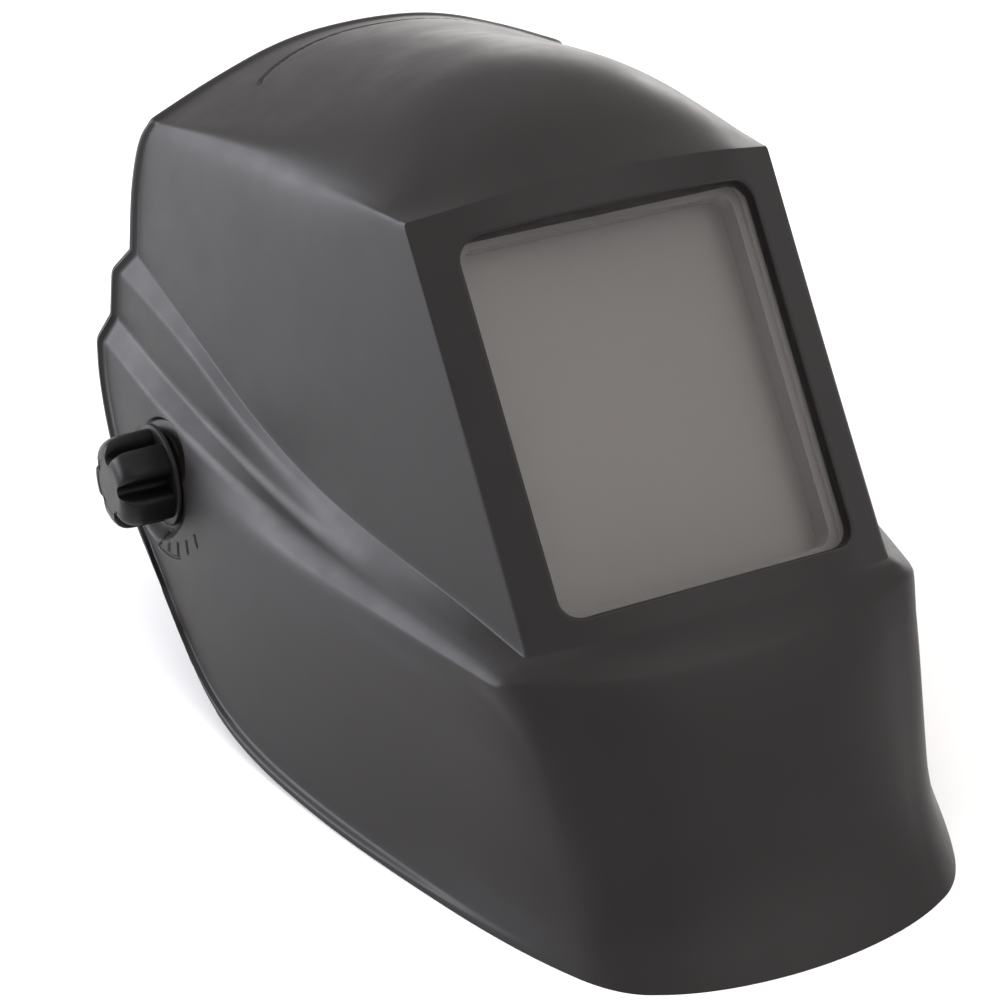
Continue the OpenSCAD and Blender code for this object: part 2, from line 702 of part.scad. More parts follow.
shell();
outer_cover_plate();
lens_gasket();
lens_spacer();
filter_plate();
inner_cover_plate();
lens_retainer();
retainer_springs();
headband_front();
rear_band_left();
rear_band_right();
crown_strap_left();
crown_strap_right();
crown_bridge();
sweatband();
nape_pad();
side_arm_left();
side_arm_right();
pivot_bolt_left();
pivot_bolt_right();
tilt_stop_left();
tilt_stop_right();
friction_washer_left();
friction_washer_right();
tension_washer_left();
tension_washer_right();
pivot_knob_left();
pivot_knob_right();
knob_insert_left();
knob_insert_right();
ratchet_housing();
ratchet_cover();
ratchet_knob();
ratchet_pinion();
rack_tail_left();
rack_tail_right();
headgear_rivets();
housing_screws();
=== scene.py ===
import math

import bmesh
import bpy
import numpy as np
from mathutils import Matrix, Vector


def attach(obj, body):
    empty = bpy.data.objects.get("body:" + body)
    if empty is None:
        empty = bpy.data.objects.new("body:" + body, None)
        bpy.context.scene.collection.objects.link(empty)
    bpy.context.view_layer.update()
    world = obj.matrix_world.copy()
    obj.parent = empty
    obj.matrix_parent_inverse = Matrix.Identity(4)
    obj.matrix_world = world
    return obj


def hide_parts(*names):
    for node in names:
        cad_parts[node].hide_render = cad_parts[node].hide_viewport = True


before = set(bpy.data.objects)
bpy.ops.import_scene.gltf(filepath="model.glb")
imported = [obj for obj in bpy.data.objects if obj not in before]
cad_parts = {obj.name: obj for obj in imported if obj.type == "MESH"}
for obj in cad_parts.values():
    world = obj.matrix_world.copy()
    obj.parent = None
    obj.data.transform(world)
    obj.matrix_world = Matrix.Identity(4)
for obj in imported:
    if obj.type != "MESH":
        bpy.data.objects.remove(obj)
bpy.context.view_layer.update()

MM = 0.001
# added to every Y of the shell's net to bring it into the shared frame
Y_SHIFT = -81.2

# ------------------------------------------------------------------ camera
# fitted to the window's four corners, with its opening 122 mm high; the place is in the net's Y
CAMERA_AZ = math.radians(-27.503)
CAMERA_EL = math.radians(29.487)
CAMERA_AT = (-455.1, -765.8, 615.2)
CAMERA_LENS = 115.2


def add_camera():
    """A camera at the photograph's angle and distance."""
    ca, sa = math.cos(CAMERA_AZ), math.sin(CAMERA_AZ)
    ce, se = math.cos(CAMERA_EL), math.sin(CAMERA_EL)
    right = Vector((ca, sa, 0))
    up = Vector((-sa * se, ca * se, ce))
    back = Vector((sa * ce, -ca * ce, se))
    data = bpy.data.cameras.new("camera")
    data.lens = CAMERA_LENS
    data.sensor_width = 36
    data.clip_start = 0.05
    data.clip_end = 20
    camera = bpy.data.objects.new("camera", data)
    bpy.context.collection.objects.link(camera)
    turn = Matrix((right, up, back)).transposed().to_4x4()
    at = Vector((CAMERA_AT[0], CAMERA_AT[1] + Y_SHIFT, CAMERA_AT[2])) * MM
    camera.matrix_world = Matrix.Translation(at) @ turn
    bpy.context.scene.camera = camera


add_camera()


# ------------------------------------------------------------------ mesh tools
def new_object(name, verts, faces, sharp_deg=32):
    """A smooth-shaded object from points in millimetres, sharp where it folds."""
    mesh = bpy.data.meshes.new(name)
    bm = bmesh.new()
    points = [bm.verts.new(Vector(v) * MM) for v in verts]
    for face in faces:
        if len(set(face)) > 2:
            try:
                bm.faces.new([points[i] for i in dict.fromkeys(face)])
            except ValueError:
                pass
    bmesh.ops.remove_doubles(bm, verts=bm.verts, dist=1e-6)
    bmesh.ops.recalc_face_normals(bm, faces=bm.faces)
    limit = math.radians(sharp_deg)
    for face in bm.faces:
        face.smooth = True
    for edge in bm.edges:
        edge.smooth = edge.calc_face_angle(0.0) < limit
    bm.to_mesh(mesh)
    bm.free()
    obj = bpy.data.objects.new(name, mesh)
    bpy.context.collection.objects.link(obj)
    return obj


class Parts:
    """Collects several surfaces into one list of points and faces."""

    def __init__(self):
        self.verts = []
        self.faces = []

    def add(self, verts, faces):
        """Adds one surface, and returns the number of its first point."""
        base = len(self.verts)
        self.verts.extend([tuple(v) for v in verts])
        self.faces.extend([[base + i for i in f] for f in faces])
        return base

    def loft(self, loops, cap=(False, False)):
        """Joins equal closed loops of points in order; cap closes the first and last."""
        count = len(loops[0])
        verts = [p for loop in loops for p in loop]
        faces = []
        for k in range(len(loops) - 1):
            for i in range(count):
                j = (i + 1) % count
                faces.append([k * count + i, k * count + j, (k + 1) * count + j, (k + 1) * count + i])
        if cap[0]:
            faces.append(list(range(count))[::-1])
        if cap[1]:
            last = (len(loops) - 1) * count
            faces.append([last + i for i in range(count)])
        return self.add(verts, faces)


# ------------------------------------------------------------------ shell form
SHELL_T = 3.0
# rows of stations up the wearer's left half, from the front's middle to the rear rim,
# estimated from the photograph
ROWS = np.array([
    [(0, -109, 0), (38, -104, 0), (64, -91, 0), (82, -54, 0), (97, 2, 0), (106.5, 46, 0.5), (112, 80, 3),
     (113.5, 108, 9), (113, 133, 24)],
    [(0, -92, 19), (38, -88, 19), (63, -74, 19), (77, -46, 20), (92.5, 5, 22), (102.5, 48, 23),
     (108.5, 86, 25), (111.5, 120, 29), (111.8, 155, 34)],
    [(0, -80, 45), (38, -76, 45), (67, -61, 45), (76, -42, 46), (89.5, 4, 46), (99.3, 46, 46), (106, 88, 46),
     (109, 133, 46), (109.7, 181, 44)],
    [(0, -68, 71), (38, -65, 71), (69.5, -50, 70), (78, -38, 71), (88, 2, 70), (95.8, 44, 66), (102, 86, 64),
     (106, 140, 62), (107.5, 205, 60)],
    [(0, -60, 86), (38, -56, 86), (76.5, -40, 83.5), (85, 1, 82.5), (92, 42, 80), (98, 80, 77.5),
     (102.8, 122, 73), (105, 168, 73), (104.7, 221, 80)],
    [(0, -57, 89), (38, -53, 88.5), (75, -40, 86), (82, 0, 86.5), (88.7, 44, 84.5), (92.5, 84, 84),
     (97.6, 125, 85.5), (102, 172, 88.5), (102.8, 226, 94)],
    [(0, -54, 93), (38, -50, 92), (72, -39, 88.5), (78.5, -1, 89.5), (84.8, 45, 88), (88, 88, 87),
     (91.6, 125, 91), (94.8, 172, 95.5), (97, 226, 102.5)],
    [(0, -51.5, 97), (38, -48, 95), (69, -38, 90.5), (75, -1, 92.3), (81, 45, 91.7), (85.3, 86, 93.7),
     (89.6, 126, 101), (93.4, 172, 114), (95.4, 226, 119.5)],
    [(0, -49.4, 100.5), (38, -46.2, 98.2), (66, -36, 92.2), (71.3, -2, 95.3), (77.5, 43, 95.5),
     (82.3, 85, 97.5), (86, 125, 104.5), (89.2, 171, 118.5), (89.5, 222, 128)],
    [(0, -8.1, 156), (38, -4.9, 153.6), (65.7, 4.3, 146.8), (70.5, 38, 149), (75.2, 76, 149),
     (79.2, 113, 149), (82.5, 150, 149), (84.8, 188, 149), (86, 226, 150)],
    [(0, 35, 214), (38, 37.8, 211), (65.7, 46.7, 203.8), (67.7, 63, 201.5), (70.5, 85, 196.5),
     (74, 112, 189.5), (77.5, 145, 183.5), (80.7, 184, 177), (83.8, 223, 169)],
], dtype=float)
# rows over the crown, from the window frame's top edge to the rear rim
CROWN = np.array([
    [(58, 44.5, 205.5), (61, 60, 207), (62.5, 84, 205.5), (65, 114, 202), (70.7, 143, 195.5),
     (76.7, 183, 186), (81, 218, 177.2)],
    [(40, 39, 210), (43, 61, 219), (43, 87, 220), (45, 116, 214), (48, 149, 206), (52, 184, 197.5),
     (56.5, 218, 188.6)],
    [(20, 36.4, 213), (22, 62, 227), (22, 88, 230.5), (23, 117, 224), (24, 150, 215.5), (26, 184, 207.5),
     (29, 218, 198.3)],
    [(0, 35.5, 214), (0, 63, 230), (0, 90, 233.5), (0, 118, 227.5), (0, 150, 218.5), (0, 184, 210),
     (0, 218, 200.6)],
], dtype=float)
# how much of each leg the rounding takes: at the front corner by row, then at each row by station
CORNER_ROUND = [.4, .34, .26, .22, .22, .2, .2, .1, .06, .06, 0]
ROW_ROUND = np.array([
    [0] * 9,
    [.5] * 9,
    [.5] * 9,
    [.5] * 9,
    [.5, .5, .45, .3, .3, .35, .5, .5, .5],
    [.5, .5, .5, .5, .5, .4, .2, .15, .1],
    [.5, .5, .5, .5, .5, .4, .25, .15, .1],
    [.5, .5, .5, .5, .5, .5, .3, .25, .1],
    [.3, .3, .2, .15, .12, .1, .08, .06, .05],
    [.5] * 9,
    [0, 0, .05, .12, .3, .5, .5, .5, .5],
    [.5, .5, .5, .5, .5, .5, .35, .15, .08],
    [.5] * 9,
    [.5] * 9,
    [.5] * 9,
    [0] * 9,
])
ACROSS = np.array([-1.0, 1.0, 1.0])
# the last row of the side wall, and the middle line of the crown
CROWN_FROM = 10
TOP = 14


def net(i, j):
    """Station i of design row j, for the wearer's left half."""
    if i < 0:
        return net(-i, j) * ACROSS
    if j > TOP:
        return net(i, 2 * TOP - j) * ACROSS
    if j <= CROWN_FROM:
        return ROWS[j][i]
    if i >= 2:
        return CROWN[j - 11][i - 2]
    return CROWN[3 - 2 * i][1]


def net_inside(i, j, depth):
    """The same station moved into the wall by depth."""
    before = max(i - 1, 2) if j > CROWN_FROM else i - 1
    along = net(min(i + 1, 8), j) - net(before, j)
    near = min(i, 7) if j == 0 else i
    upward = net(near, j + 1) - net(near, max(j - 1, 0))
    normal = np.cross(along, upward)
    if j == 0:
        normal[2] = 0
    point = net(i, j) - depth * normal / np.linalg.norm(normal)
    if i == 0 or j == TOP:
        point[0] = 0
    return point


def blend(points, widths, s):
    """A line through the points whose corners are rounded by widths, at position s."""
    last = len(points) - 1
    i = min(max(int(round(s)), 0), last)
    d = s - i
    if 0 < i < last and abs(d) < widths[i]:
        w = widths[i]
        a = points[i] + w * (points[i - 1] - points[i])
        b = points[i] + w * (points[i + 1] - points[i])
        f = (d + w) / (2 * w)
        return (1 - f) ** 2 * a + 2 * f * (1 - f) * points[i] + f * f * b
    k = min(int(math.floor(s)), last - 1)
    return points[k] + (s - k) * (points[k + 1] - points[k])


class Skin:
    """One face of the shell's wall, at a given depth below the outside."""

    def __init__(self, depth):
        self.rows = []
        for j in range(CROWN_FROM + 1):
            half = [net_inside(i, j, depth) if depth else net(i, j) for i in range(9)]
            self.rows.append([half[1] * ACROSS] + half)
        self.crown = []
        for j in range(11, TOP + 1):
            self.crown.append([net_inside(i, j, depth) if depth else net(i, j) for i in range(2, 9)])
        self.crown.append([p * ACROSS for p in self.crown[2]])

    def column(self, u):
        """The stations of every row at u, from the lower rim to past the crown."""
        out = []
        for j, row in enumerate(self.rows):
            out.append(blend(row, [0, .5, .5, CORNER_ROUND[j], .5, .5, .5, .5, .5, 0], u + 1))
        if u >= 2:
            for row in self.crown:
                out.append(blend(row, [0, .5, .5, .5, .5, .5, 0], u - 2))
        return out

    def widths(self, u):
        """How much each row's corner is rounded at u."""
        k = min(int(u), 7)
        return ROW_ROUND[:, k] + (u - k) * (ROW_ROUND[:, k + 1] - ROW_ROUND[:, k])

    def top_edge(self, v):
        """The point of the frame's top edge where the crown's line v starts."""
        return self.column(front_u(v) - 1e-9 if v > CROWN_FROM else 2)[CROWN_FROM]

    def side(self, u, vs):
        """Points up the side and over the crown, u from 2 to 8."""
        column, widths = self.column(u), self.widths(u)
        out = [blend(column, widths, v) for v in vs]
        if u < 3:
            corner, corner_w = self.column(2), self.widths(2)
            f = u - 2
            pull = 1 - f * f * (3 - 2 * f)
            for n, v in enumerate(vs):
                if v > CROWN_FROM:
                    edge = self.top_edge(v)
                    out[n] = edge if u == 2 else out[n] + pull * (edge - blend(corner, corner_w, v))
        return out

    def front(self, u, vs):
        """Points up the front, u from 0 to 2."""
        column = self.column(u)[:11]
        widths = self.widths(u)[:11]
        return [blend(column, widths, v) for v in vs]


def steps(*runs):
    """Sample positions from (start, end, step) runs, in order and without repeats."""
    out = []
    for start, end, step in runs:
        count = max(1, int(round((end - start) / step)))
        out += [round(start + (end - start) * n / count, 6) for n in range(count + 1)]
    return sorted(set(out))


U_SIDE = steps((2, 2.1, .02), (2.1, 5.8, .1), (5.8, 7.3, .05), (7.3, 7.8, .1), (7.8, 8, .02))
V_LOW = steps((0, .2, .02), (.2, 2, .1), (2, 7.8, .05), (7.8, 8, .025))
V_FRAME = steps((8, 8.3, .025), (8.3, 9.8, .1), (9.8, 10, .05))
V_CROWN = steps((10, 10.2, .04), (10.2, 11.4, .08), (11.4, 14, .1))
V_SIDE = sorted(set(V_LOW + V_FRAME + V_CROWN))
# how many of V_SIDE lie below the window frame, and up to its top edge
N_LOW = len(V_LOW)
N_FRAME = len([v for v in V_SIDE if v <= CROWN_FROM])


def front_u(v):
    """The u of the front's line that meets the crown's line v on the frame's top edge."""
    return 2 * (TOP - v) / (TOP - CROWN_FROM)


FRONT_U = [front_u(v) for v in V_CROWN]

# window plane, and the opening and lens pocket as (width, height, corner radius)
TILT = math.radians(36.7)
WINDOW_AT = np.array([0, 0, 150.0])
WINDOW_X = np.array([1.0, 0, 0])
WINDOW_UP = np.array([0, math.sin(TILT), math.cos(TILT)])
WINDOW_OUT = np.array([0, -math.cos(TILT), math.sin(TILT)])
OPENING = (105.6, 122.0, 7.0)
POCKET = (115.3, 134.4, 1.5)
POCKET_WALL = 2.4
POCKET_DEPTH = 28.05
SEAT = 5.0


def to_window(p):
    """Points as (across, up, out) from the window plane's middle."""
    q = np.asarray(p) - WINDOW_AT
    return np.stack([q @ WINDOW_X, q @ WINDOW_UP, q @ WINDOW_OUT], axis=-1)


def from_window(x, y, z):
    """Points of the net from places across, up and out of the window plane."""
    return WINDOW_AT + np.outer(x, WINDOW_X) + np.outer(y, WINDOW_UP) + np.outer(z, WINDOW_OUT)


def side_of_rect(w, d, r, side, s):
    """A point on one side of a rounded rectangle, from corner middle to corner middle."""
    half, other = (w / 2, d / 2) if side % 2 == 0 else (d / 2, w / 2)
    arc = .08
    if s < arc or s > 1 - arc:
        f = s / arc if s < arc else (1 - s) / arc
        a = math.radians(45 + 45 * f)
        x = -(half - r) - r * math.cos(a)
        y = -(other - r) - r * math.sin(a)
        x = x if s < arc else -x
    else:
        x = -(half - r) + (s - arc) / (1 - 2 * arc) * 2 * (half - r)
        y = -other
    turn = [(1, 0, 0, 1), (0, -1, 1, 0), (-1, 0, 0, -1), (0, 1, -1, 0)][side]
    return turn[0] * x + turn[1] * y, turn[2] * x + turn[3] * y


class Height:
    """Height of a skin above the window plane, looked up by position in that plane."""

    ROUNDS = 60

    def __init__(self, skin):
        self.u = np.array(sorted(set([-u for u in FRONT_U] + FRONT_U)))
        self.v = np.array(steps((7.6, 8, .025)) + V_FRAME[1:])
        half = {u: to_window(skin.front(u, self.v)) for u in sorted(set(abs(u) for u in FRONT_U))}
        table = []
        for u in self.u:
            column = half[abs(u)].copy()
            if u < 0:
                column[:, 0] *= -1
            table.append(column)
        self.table = np.array(table)

    def at(self, x, y):
        """The height at x, y, found by stepping towards it over the table."""
        t = self.table
        a = np.full(len(x), (len(self.u) - 1) / 2.0)
        b = np.full(len(x), (len(self.v) - 1) / 2.0)
        for _ in range(self.ROUNDS):
            i = np.clip(a.astype(int), 0, len(self.u) - 2)
            j = np.clip(b.astype(int), 0, len(self.v) - 2)
            fa, fb = (a - i)[:, None], (b - j)[:, None]
            p = ((1 - fa) * (1 - fb) * t[i, j] + fa * (1 - fb) * t[i + 1, j]
                 + (1 - fa) * fb * t[i, j + 1] + fa * fb * t[i + 1, j + 1])
            da = (1 - fb) * (t[i + 1, j] - t[i, j]) + fb * (t[i + 1, j + 1] - t[i, j + 1])
            db = (1 - fa) * (t[i, j + 1] - t[i, j]) + fa * (t[i + 1, j + 1] - t[i + 1, j])
            det = da[:, 0] * db[:, 1] - da[:, 1] * db[:, 0]
            ex, ey = x - p[:, 0], y - p[:, 1]
            step_a = (ex * db[:, 1] - ey * db[:, 0]) / det
            step_b = (da[:, 0] * ey - da[:, 1] * ex) / det
            a = np.clip(a + np.clip(step_a, -3, 3), 0, len(self.u) - 1.001)
            b = np.clip(b + np.clip(step_b, -3, 3), 0, len(self.v) - 1.001)
        return p[:, 2]


class ShellSkin:
    """Points and faces of one skin, with the lower front, the sides, the crown and the frame."""

    def __init__(self, depth):
        skin = Skin(depth)
        self.verts = []
        self.faces = []
        self.grid = self.side_grid(skin)
        self.front_grid = self.lower_front_grid(skin)
        for grid in (self.grid, self.front_grid):
            for a in range(grid.shape[0] - 1):
                for b in range(grid.shape[1] - 1):
                    self.faces.append([grid[a, b], grid[a + 1, b], grid[a + 1, b + 1], grid[a, b + 1]])
        self.outline = self.frame_outline()
        self.verts = np.array(self.verts)
        self.height = Height(skin)

    def side_grid(self, skin):
        """Point numbers over both sides and the crown, from one lower rim across to the other."""
        top = len(V_SIDE) - 1
        columns = [skin.side(u, V_SIDE) for u in U_SIDE]
        grid = np.zeros((2 * top + 1, len(U_SIDE)), dtype=int)
        for m in range(2 * top + 1):
            for k, column in enumerate(columns):
                p = column[min(m, 2 * top - m)]
                if m == top:
                    p = p * np.array([0.0, 1, 1])
                grid[m, k] = len(self.verts)
                self.verts.append(p * ACROSS if m < top else p)
        return grid

    def lower_front_grid(self, skin):
        """Point numbers over the lower front, whose two end lines belong to the sides."""
        spans = len(V_CROWN) - 1
        last = len(self.grid) - 1
        grid = np.zeros((2 * spans + 1, N_LOW), dtype=int)
        lows = {u: skin.front(u, V_LOW) for u in FRONT_U}
        for i in range(2 * spans + 1):
            u = FRONT_U[min(i, 2 * spans - i)]
            for j in range(N_LOW):
                if i == 0:
                    grid[i, j] = self.grid[j, 0]
                elif i == 2 * spans:
                    grid[i, j] = self.grid[last - j, 0]
                else:
                    p = lows[u][j]
                    grid[i, j] = len(self.verts)
                    self.verts.append(p * ACROSS if i < spans else p)
        return grid

    def frame_outline(self):
        """Point numbers round the window frame, in four sides: bottom, right, top, left."""
        last = len(self.grid) - 1
        return [
            list(self.front_grid[:, N_LOW - 1]),
            [self.grid[last - j, 0] for j in range(N_LOW - 1, N_FRAME)],
            [self.grid[m, 0] for m in range(last - (N_FRAME - 1), N_FRAME - 2, -1)],
            [self.grid[j, 0] for j in range(N_FRAME - 1, N_LOW - 2, -1)],
        ]

    def rim(self):
        """The open rim as one loop of point numbers."""
        last = len(self.grid) - 1
        loop = list(self.front_grid[:, 0])
        loop += list(self.grid[last, 1:])
        loop += list(self.grid[last - 1::-1, -1])
        loop += list(self.grid[0, -2:0:-1])
        return loop

    def rim_distance(self):
        """How far each point lies from the open rim, along the skin."""
        d = np.full(len(self.verts), 1e3)

        def walked(p, axis):
            """Length walked along one way of a grid of points."""
            run = np.cumsum(np.linalg.norm(np.diff(p, axis=axis), axis=2), axis=axis)
            return np.concatenate([np.zeros_like(np.take(run, [0], axis=axis)), run], axis=axis)

        side = self.verts[self.grid]
        ends = [walked(side, 0), walked(side[::-1], 0)[::-1], walked(side[:, ::-1], 1)[:, ::-1]]
        d[self.grid] = np.minimum.reduce(ends)
        front = walked(self.verts[self.front_grid], 1)
        d[self.front_grid] = np.minimum(d[self.front_grid], front)
        return d

    def normals(self):
        """The outward direction at each point."""
        quads = np.array(self.faces)
        p = self.verts[quads]
        face = np.cross(p[:, 2] - p[:, 0], p[:, 3] - p[:, 1])
        total = np.zeros_like(self.verts)
        for k in range(4):
            np.add.at(total, quads[:, k], face)
        size = np.linalg.norm(total, axis=1, keepdims=True)
        return total / np.maximum(size, 1e-9)


# rolled lip: distance from the rim, and how far it stands out there
BEAD = ((0, .35, .9, 2.2, 2.8, 3.3, 3.9, 4.8), (1.2, 1.7, 1.85, 1.85, 1.5, .75, .2, 0))
# it fades out towards the chin between these two Y, and thins towards the crown between these two Z
BEAD_FROM, BEAD_TO = -70.0, 30.0
BEAD_CROWN_FROM, BEAD_CROWN_TO = 150.0, 190.0
BEAD_CROWN_LOSS = .45
# the lowest part of the rim stands on the floor, so its lip grows sideways only
STANDING_Z = 8.0
# the corner where the standing rim turns up to the rear, as Y and Z
RIM_CORNER = (133.0, 24.0)
RIM_CORNER_R = 16.0
RIM_CORNER_X = 95.0
# the knobs' axis as Y and Z, and the flat pad under each knob
PIVOT = np.array([165.5, 67.0])
PAD_X = 104.2
PAD_R = 18.9
PAD_BLEND = 24.0
PAD_INSIDE = 26.0
OPENING_EASE = 1.1


def pad_share(away, reach):
    """1 on a pad, falling smoothly to 0 at reach from its middle."""
    f = np.clip((reach - away) / (reach - PAD_R), 0, 1)
    return f * f * (3 - 2 * f)


def roll_lip(outer):
    """Pushes the outer skin out along the open rim, for its rolled lip."""
    lift = np.interp(outer.rim_distance(), *BEAD)
    fade = np.clip((outer.verts[:, 1] - BEAD_FROM) / (BEAD_TO - BEAD_FROM), 0, 1)
    lift = lift * fade * fade * (3 - 2 * fade)
    over_crown = np.clip((outer.verts[:, 2] - BEAD_CROWN_FROM) / (BEAD_CROWN_TO - BEAD_CROWN_FROM), 0, 1)
    lift = lift * (1 - BEAD_CROWN_LOSS * over_crown)
    normals = outer.normals()
    level = outer.verts[:, 2] < STANDING_Z
    normals[level, 2] = 0
    # the two rim lines meet almost in line here, so the wall's own direction is used
    away = np.hypot(outer.verts[:, 1] - RIM_CORNER[0], outer.verts[:, 2] - RIM_CORNER[1])
    corner = (away < RIM_CORNER_R) & (np.abs(outer.verts[:, 0]) > RIM_CORNER_X)
    normals[corner] = np.sign(outer.verts[corner]) * np.array([1.0, 0, 0])
    normals /= np.linalg.norm(normals, axis=1, keepdims=True)
    outer.verts = outer.verts + lift[:, None] * normals


def flatten_inside(inner):
    """Makes the inner skin follow the flat pads under the knobs."""
    away = np.hypot(inner.verts[:, 1] - PIVOT[0], inner.verts[:, 2] - PIVOT[1])
    over = np.maximum(np.abs(inner.verts[:, 0]) - PAD_X + SHELL_T, 0)
    inner.verts[:, 0] -= pad_share(away, PAD_INSIDE) * over * np.sign(inner.verts[:, 0])


def add_skins(parts, outer, inner):
    """Adds both skins and closes the wall's end between their open rims."""
    base_out = parts.add(outer.verts, outer.faces)
    base_in = parts.add(inner.verts, [f[::-1] for f in inner.faces])
    rim_out, rim_in = outer.rim(), inner.rim()
    count = len(rim_out)
    for n in range(count):
        k = (n + 1) % count
        parts.faces.append([base_out + rim_out[k], base_out + rim_out[n],
                            base_in + rim_in[n], base_in + rim_in[k]])


def outline_of(skin):
    """The frame's outline: its points, the side each is on, and how far along that side."""
    loop, sides, along = [], [], []
    for side, ids in enumerate(skin.outline):
        p = skin.verts[ids]
        run = np.concatenate([[0], np.cumsum(np.linalg.norm(np.diff(p, axis=0), axis=1))])
        run /= run[-1]
        for n in range(len(ids) - 1):
            loop.append(ids[n])
            sides.append(side)
            along.append(run[n])
    return loop, sides, along


def face_loops(skin, loop, inner_xy):
    """Loops over one skin of the frame's face, from its outline in to inner_xy."""
    edge = to_window(skin.verts[loop])
    loops = [skin.verts[loop]]
    for s in (.015, .04, .08, .15, .3, .45, .6, .75, .88, .96, 1):
        xy = edge[:, :2] * (1 - s) + inner_xy * s
        drop = edge[:, 2] - skin.height.at(edge[:, 0], edge[:, 1])
        z = skin.height.at(xy[:, 0], xy[:, 1]) + drop * (1 - s)
        loops.append(from_window(xy[:, 0], xy[:, 1], z))
    return loops


def window_loops(outer, inner):
    """Loops over the frame's face, down the opening and lens pocket, and over its back."""
    loop_out, sides, along = outline_of(outer)
    loop_in = outline_of(inner)[0]

    def contour(rect, grow=0.0):
        w, d, r = rect
        wide, deep = w + 2 * grow, d + 2 * grow
        return np.array([side_of_rect(wide, deep, r + grow, s, a) for s, a in zip(sides, along)])

    loops = face_loops(outer, loop_out, contour(OPENING, OPENING_EASE))
    for deg in (22.5, 45, 67.5, 90):
        a = math.radians(deg)
        xy = contour(OPENING, OPENING_EASE * (1 - math.sin(a)))
        z = outer.height.at(xy[:, 0], xy[:, 1]) - OPENING_EASE * (1 - math.cos(a))
        loops.append(from_window(xy[:, 0], xy[:, 1], z))
    for rect, grow, depth in (
        (OPENING, -.3, SEAT - .4), (OPENING, -.1, SEAT), (POCKET, 0, SEAT), (POCKET, 0, POCKET_DEPTH - .5),
        (POCKET, .5, POCKET_DEPTH), (POCKET, POCKET_WALL - .6, POCKET_DEPTH),
        (POCKET, POCKET_WALL, POCKET_DEPTH - .6),
    ):
        xy = contour(rect, grow)
        loops.append(from_window(xy[:, 0], xy[:, 1], np.full(len(xy), -depth)))
    return loops + face_loops(inner, loop_in, contour(POCKET, POCKET_WALL))[::-1]


def boss_loops(s):
    """The inner boss that carries one pivot bolt, as rings of (radius, X)."""
    rings = []
    for r, x in ((4.1, 102), (4.1, 98.9), (4.5, 98.5), (14.4, 98.5), (15, 99.1), (15, 102)):
        rings.append([(s * x, PIVOT[0] + r * math.cos(a), PIVOT[1] + r * math.sin(a))
                      for a in np.linspace(0, 2 * math.pi, 64, endpoint=False)])
    return rings


def build_shell():
    """The shell moulding: two skins, the window with its lens pocket, and the bosses."""
    outer, inner = ShellSkin(0), ShellSkin(SHELL_T)
    roll_lip(outer)
    flatten_inside(inner)
    parts = Parts()
    add_skins(parts, outer, inner)
    parts.loft(window_loops(outer, inner))
    for s in (-1, 1):
        parts.loft(boss_loops(s))
    verts = np.array(parts.verts)
    verts[:, 1] += Y_SHIFT
    return new_object("shell_moulding", verts, parts.faces, sharp_deg=38)


# engraved scale of five dashes below each knob, fanned about this centre
DASH_CENTRE = np.array([158.6, 80.2])
DASH_R = (32.9, 37.0)
DASH_AT = [-91.0, -102.5, -114.5, -126.5, -138.5]
DASH_WIDE = 1.6
DASH_DEEP = 1.15
ARC_R = 37.9
ARC_WIDE = .8
# plain moulded groove across the crown, ahead of the rear rim
GROOVE_HALF = ((0, 203.5), (13, 203), (26, 201), (36, 198.5), (44, 195.5), (50, 191.5), (52, 188))
GROOVE = [(-x, y) for x, y in GROOVE_HALF[:0:-1]] + list(GROOVE_HALF)
GROOVE_WIDE = 1.1
GROOVE_DEEP = .8
# where the wall is refined: a sector round the scale, a box over the crown, and beyond SIDE_OVER
SCALE_R = (30.5, 40.0)
SCALE_TURN = (-143.0, -87.0)
CROWN_OVER = 170.0
SIDE_OVER = 90.0
GROOVE_BOX_X = 57.0
GROOVE_BOX_Y = (184.0, 207.0)


def dash_depth(y, z):
    """How deep the scale's dashes cut at a point of the side wall."""
    dy, dz = y - DASH_CENTRE[0], z - DASH_CENTRE[1]
    r = math.hypot(dy, dz)
    deg = math.degrees(math.atan2(dz, dy))
    deep = 0.0
    for at in DASH_AT:
        off = abs(math.radians(deg - at) * r)
        past = max(DASH_R[0] - r, r - DASH_R[1], 0)
        gap = math.hypot(max(off - DASH_WIDE / 2 + .45, 0), past)
        deep = max(deep, 1 - gap / .6)
    if DASH_AT[2] - 3 < deg < DASH_AT[0] + 2:
        deep = max(deep, (1 - abs(r - ARC_R) / ARC_WIDE) * .9)
    return DASH_DEEP * min(1, max(0, deep))


def groove_depth(x, y):
    """How deep the crown's groove cuts at a point seen from above."""
    best = 1e3
    for (x0, y0), (x1, y1) in zip(GROOVE, GROOVE[1:]):
        dx, dy = x1 - x0, y1 - y0
        t = min(1, max(0, ((x - x0) * dx + (y - y0) * dy) / (dx * dx + dy * dy)))
        best = min(best, math.hypot(x - x0 - t * dx, y - y0 - t * dy))
    return GROOVE_DEEP * min(1, max(0, 1.6 - best / (GROOVE_WIDE / 2)))


def on_scale(c, n):
    """True on the side wall round the scale; c is a place and n its outward direction."""
    y, z = c.y / MM - Y_SHIFT - DASH_CENTRE[0], c.z / MM - DASH_CENTRE[1]
    deg = math.degrees(math.atan2(z, y))
    inside = SCALE_R[0] < math.hypot(y, z) < SCALE_R[1] and SCALE_TURN[0] < deg < SCALE_TURN[1]
    return inside and abs(n.x) > .7 and n.x * c.x > 0


def from_pivot(c):
    """How far a place is from the pivot's axis."""
    return math.hypot(c.y / MM - Y_SHIFT - PIVOT[0], c.z / MM - PIVOT[1])


